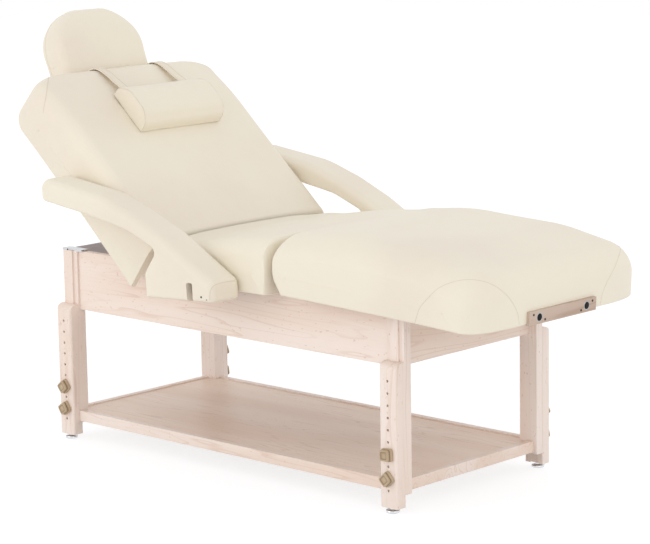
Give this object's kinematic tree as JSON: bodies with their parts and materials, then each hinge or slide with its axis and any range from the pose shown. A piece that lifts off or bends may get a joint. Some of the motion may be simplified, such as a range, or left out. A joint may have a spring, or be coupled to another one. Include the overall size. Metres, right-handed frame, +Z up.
{
  "type": "spa treatment table",
  "caption": "Padded treatment table with tilting backrest, adjustable headrest, lifting knee section, arm rests, wooden base with shelf and height-adjustable legs.",
  "frame": {"origin": "on the floor under the middle of the whole table's length and width, in the pose of the picture", "axes": "+X towards the foot end, +Y towards the far side in the picture, +Z up"},
  "size_m": [2.0126, 1.022, 1.3255],
  "materials": {
    "maple": "satin",
    "frame_wood": "matte",
    "plywood": "matte",
    "shelf_veneer": "satin",
    "grey_board": "matte",
    "cap_steel": "satin",
    "screw_steel": "satin",
    "chrome": "polished",
    "knob_plastic": "satin",
    "black_steel": "satin",
    "bright_steel": "satin",
    "nylon": "matte",
    "webbing": "matte",
    "vinyl": "satin"
  },
  "bodies": {
    "base": {"post_near_head": "maple", "post_far_head": "maple", "post_near_foot": "maple", "post_far_foot": "maple", "apron_near": "maple", "apron_far": "maple", "apron_head": "maple", "apron_foot": "maple", "deck": "grey_board", "deck_bearers": "frame_wood", "corner_caps": "cap_steel", "cap_screws": "screw_steel", "shelf_panel": "shelf_veneer", "shelf_rails": "maple", "back_hinge_clevises": "black_steel", "back_hinge_pins": "bright_steel", "seat_hinge_clevises": "black_steel", "seat_hinge_pins": "bright_steel"},
    "backrest": {"back_hinge_tongues": "black_steel", "backrest_board": "plywood", "backrest_rails": "frame_wood", "backrest_cushion": "vinyl", "head_outlet_block": "maple", "bolster": "vinyl", "bolster_straps": "webbing"},
    "headrest_slide": {"headrest_fork": "bright_steel", "headrest_hinge_pin": "bright_steel"},
    "headrest": {"headrest_shell": "plywood", "headrest_pad": "vinyl"},
    "seat": {"seat_hinge_tongues": "black_steel", "seat_board": "plywood", "seat_rails": "frame_wood", "seat_cushion": "vinyl", "arm_brackets": "black_steel", "knee_hinge_clevises": "black_steel"},
    "arm_rest_near": {"arm_near": "vinyl"},
    "arm_rest_far": {"arm_far": "vinyl"},
    "leg_section": {"knee_hinge_tongues": "black_steel", "leg_board": "plywood", "leg_rails": "frame_wood", "slide_pads": "nylon", "leg_cushion": "vinyl", "foot_outlet_block": "maple", "outlet_screws": "screw_steel"},
    "leg_near_head": {"leg_near_head": "maple"},
    "foot_near_head": {"glide_near_head": "chrome"},
    "knob_near_head_upper": {"knob_near_head_upper": "knob_plastic"},
    "knob_near_head_lower": {"knob_near_head_lower": "knob_plastic"},
    "leg_near_foot": {"leg_near_foot": "maple"},
    "foot_near_foot": {"glide_near_foot": "chrome"},
    "knob_near_foot_upper": {"knob_near_foot_upper": "knob_plastic"},
    "knob_near_foot_lower": {"knob_near_foot_lower": "knob_plastic"},
    "leg_far_head": {"leg_far_head": "maple"},
    "foot_far_head": {"glide_far_head": "chrome"},
    "knob_far_head_upper": {"knob_far_head_upper": "knob_plastic"},
    "knob_far_head_lower": {"knob_far_head_lower": "knob_plastic"},
    "leg_far_foot": {"leg_far_foot": "maple"},
    "foot_far_foot": {"glide_far_foot": "chrome"},
    "knob_far_foot_upper": {"knob_far_foot_upper": "knob_plastic"},
    "knob_far_foot_lower": {"knob_far_foot_lower": "knob_plastic"}
  },
  "joints": [
    {"name": "backrest_tilt", "type": "hinge", "parent": "base", "child": "backrest", "pos_m": [-0.36049, 0, 0.615], "axis": [0, 1, 0], "range_deg": [-42, 23]},
    {"name": "headrest_extend", "type": "slide", "parent": "backrest", "child": "headrest_slide", "axis": [-0.7431, 0, 0.6691], "range_m": [0, 0.08]},
    {"name": "headrest_tilt", "type": "hinge", "parent": "headrest_slide", "child": "headrest", "pos_m": [-0.95293, 0, 1.11076], "axis": [0, 1, 0], "range_deg": [-35, 2]},
    {"name": "seat_lift", "type": "hinge", "parent": "base", "child": "seat", "pos_m": [-0.20149, 0, 0.632], "axis": [0, -1, 0], "range_deg": [-2.9, 7.1]},
    {"name": "knee_fold", "type": "hinge", "parent": "seat", "child": "leg_section", "pos_m": [0.23616, 0, 0.65016], "axis": [0, 1, 0], "range_deg": [-5.9, 14.5]},
    {"name": "arm_near_lift_off", "type": "slide", "parent": "seat", "child": "arm_rest_near", "axis": [-0.0506, 0, 0.9987], "range_m": [0, 0.06]},
    {"name": "arm_far_lift_off", "type": "slide", "parent": "seat", "child": "arm_rest_far", "axis": [-0.0506, 0, 0.9987], "range_m": [0, 0.06]},
    {"name": "leg_near_head_height", "type": "slide", "parent": "base", "child": "leg_near_head", "axis": [0, 0, 1], "range_m": [-0.21, 0.035]},
    {"name": "foot_near_head_level", "type": "hinge", "parent": "leg_near_head", "child": "foot_near_head", "pos_m": [-0.70649, -0.327, 0.005], "axis": [0, 0, 1], "continuous": true},
    {"name": "knob_near_head_upper_turn", "type": "hinge", "parent": "leg_near_head", "child": "knob_near_head_upper", "pos_m": [-0.70649, -0.345, 0.171], "axis": [0, -1, 0], "continuous": true},
    {"name": "knob_near_head_lower_turn", "type": "hinge", "parent": "leg_near_head", "child": "knob_near_head_lower", "pos_m": [-0.70649, -0.345, 0.101], "axis": [0, -1, 0], "continuous": true},
    {"name": "leg_near_foot_height", "type": "slide", "parent": "base", "child": "leg_near_foot", "axis": [0, 0, 1], "range_m": [-0.21, 0.035]},
    {"name": "foot_near_foot_level", "type": "hinge", "parent": "leg_near_foot", "child": "foot_near_foot", "pos_m": [0.65551, -0.327, 0.005], "axis": [0, 0, 1], "continuous": true},
    {"name": "knob_near_foot_upper_turn", "type": "hinge", "parent": "leg_near_foot", "child": "knob_near_foot_upper", "pos_m": [0.65551, -0.345, 0.171], "axis": [0, -1, 0], "continuous": true},
    {"name": "knob_near_foot_lower_turn", "type": "hinge", "parent": "leg_near_foot", "child": "knob_near_foot_lower", "pos_m": [0.65551, -0.345, 0.101], "axis": [0, -1, 0], "continuous": true},
    {"name": "leg_far_head_height", "type": "slide", "parent": "base", "child": "leg_far_head", "axis": [0, 0, 1], "range_m": [-0.21, 0.035]},
    {"name": "foot_far_head_level", "type": "hinge", "parent": "leg_far_head", "child": "foot_far_head", "pos_m": [-0.70649, 0.327, 0.005], "axis": [0, 0, 1], "continuous": true},
    {"name": "knob_far_head_upper_turn", "type": "hinge", "parent": "leg_far_head", "child": "knob_far_head_upper", "pos_m": [-0.70649, 0.345, 0.171], "axis": [0, 1, 0], "continuous": true},
    {"name": "knob_far_head_lower_turn", "type": "hinge", "parent": "leg_far_head", "child": "knob_far_head_lower", "pos_m": [-0.70649, 0.345, 0.101], "axis": [0, 1, 0], "continuous": true},
    {"name": "leg_far_foot_height", "type": "slide", "parent": "base", "child": "leg_far_foot", "axis": [0, 0, 1], "range_m": [-0.21, 0.035]},
    {"name": "foot_far_foot_level", "type": "hinge", "parent": "leg_far_foot", "child": "foot_far_foot", "pos_m": [0.65551, 0.327, 0.005], "axis": [0, 0, 1], "continuous": true},
    {"name": "knob_far_foot_upper_turn", "type": "hinge", "parent": "leg_far_foot", "child": "knob_far_foot_upper", "pos_m": [0.65551, 0.345, 0.171], "axis": [0, 1, 0], "continuous": true},
    {"name": "knob_far_foot_lower_turn", "type": "hinge", "parent": "leg_far_foot", "child": "knob_far_foot_lower", "pos_m": [0.65551, 0.345, 0.101], "axis": [0, 1, 0], "continuous": true}
  ],
  "couplings": [
    {"joint": "knee_fold", "follows": "seat_lift", "ratio": 2.027}
  ]
}
